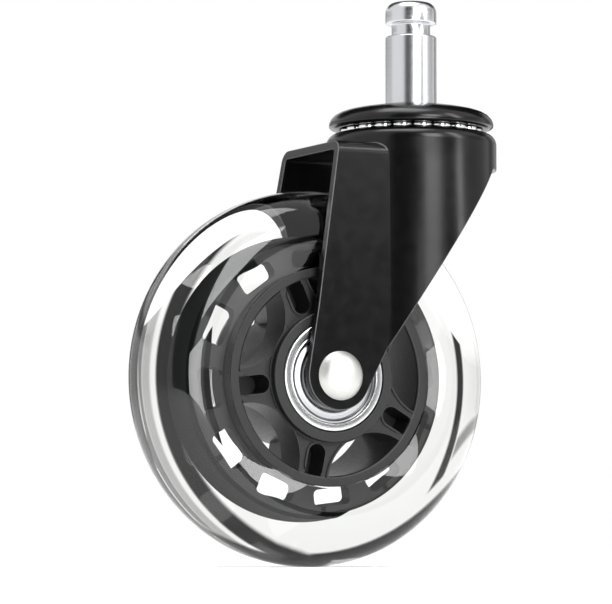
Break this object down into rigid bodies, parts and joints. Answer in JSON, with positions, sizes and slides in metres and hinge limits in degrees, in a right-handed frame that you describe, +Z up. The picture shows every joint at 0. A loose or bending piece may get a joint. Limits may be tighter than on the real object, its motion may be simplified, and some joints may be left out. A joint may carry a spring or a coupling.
{
  "type": "swivel chair caster",
  "caption": "Swivel chair caster with a grip stem, a two-row ball race, a pressed steel fork and a clear tyred wheel on shielded ball bearings.",
  "frame": {"origin": "on the swivel axis, at the flat top of the race cap where the stem leaves it", "axes": "+Z up the stem along the swivel axis, the wheel trails towards -X, and the wheel's axle runs along Y"},
  "size_m": [0.0796, 0.0372, 0.1164],
  "materials": {
    "plated_steel": "bright zinc plate",
    "bearing_steel": "ground and polished",
    "shield_steel": "pressed, satin",
    "black_paint": "gloss black",
    "black_nylon": "moulded, satin",
    "clear_urethane": "clear, polished mould"
  },
  "bodies": {
    "stem_assembly": {"stem": "plated_steel", "upper_race_cap": "black_paint", "lower_race_cup": "plated_steel"},
    "fork_assembly": {"fork": "black_paint", "axle_rivet": "plated_steel", "axle_sleeve": "plated_steel", "bearing_spacer": "plated_steel", "near_washer": "plated_steel", "far_washer": "plated_steel", "near_inner_ring": "bearing_steel", "far_inner_ring": "bearing_steel"},
    "wheel_assembly": {"hub_core": "black_nylon", "tyre": "clear_urethane", "near_outer_ring": "bearing_steel", "far_outer_ring": "bearing_steel", "near_outer_shield": "shield_steel", "near_inner_shield": "shield_steel", "far_outer_shield": "shield_steel", "far_inner_shield": "shield_steel"},
    "upper_ball_row": {"upper_ball_01": "bearing_steel", "upper_ball_02": "bearing_steel", "upper_ball_03": "bearing_steel", "upper_ball_04": "bearing_steel", "upper_ball_05": "bearing_steel", "upper_ball_06": "bearing_steel", "upper_ball_07": "bearing_steel", "upper_ball_08": "bearing_steel", "upper_ball_09": "bearing_steel", "upper_ball_10": "bearing_steel", "upper_ball_11": "bearing_steel", "upper_ball_12": "bearing_steel", "upper_ball_13": "bearing_steel", "upper_ball_14": "bearing_steel", "upper_ball_15": "bearing_steel", "upper_ball_16": "bearing_steel", "upper_ball_17": "bearing_steel", "upper_ball_18": "bearing_steel", "upper_ball_19": "bearing_steel", "upper_ball_20": "bearing_steel"},
    "lower_ball_row": {"lower_ball_ring": "bearing_steel"},
    "near_cage": {"near_ball_cage": "bearing_steel"},
    "far_cage": {"far_ball_cage": "bearing_steel"}
  },
  "joints": [
    {"name": "swivel", "type": "hinge", "parent": "stem_assembly", "child": "fork_assembly", "pos_m": [0, 0, 0], "axis": [0, 0, 1], "continuous": true},
    {"name": "wheel_roll", "type": "hinge", "parent": "fork_assembly", "child": "wheel_assembly", "pos_m": [-0.024, 0, -0.057], "axis": [0, 1, 0], "continuous": true},
    {"name": "upper_row_orbit", "type": "hinge", "parent": "stem_assembly", "child": "upper_ball_row", "pos_m": [0, 0, 0], "axis": [0, 0, 1], "continuous": true},
    {"name": "lower_row_orbit", "type": "hinge", "parent": "stem_assembly", "child": "lower_ball_row", "pos_m": [0, 0, 0], "axis": [0, 0, 1], "continuous": true},
    {"name": "near_cage_orbit", "type": "hinge", "parent": "fork_assembly", "child": "near_cage", "pos_m": [-0.024, 0, -0.057], "axis": [0, 1, 0], "continuous": true},
    {"name": "far_cage_orbit", "type": "hinge", "parent": "fork_assembly", "child": "far_cage", "pos_m": [-0.024, 0, -0.057], "axis": [0, 1, 0], "continuous": true}
  ],
  "couplings": [
    {"joint": "upper_row_orbit", "follows": "swivel", "ratio": 0.5},
    {"joint": "lower_row_orbit", "follows": "swivel", "ratio": 0.5},
    {"joint": "near_cage_orbit", "follows": "wheel_roll", "ratio": 0.632},
    {"joint": "far_cage_orbit", "follows": "wheel_roll", "ratio": 0.632}
  ]
}
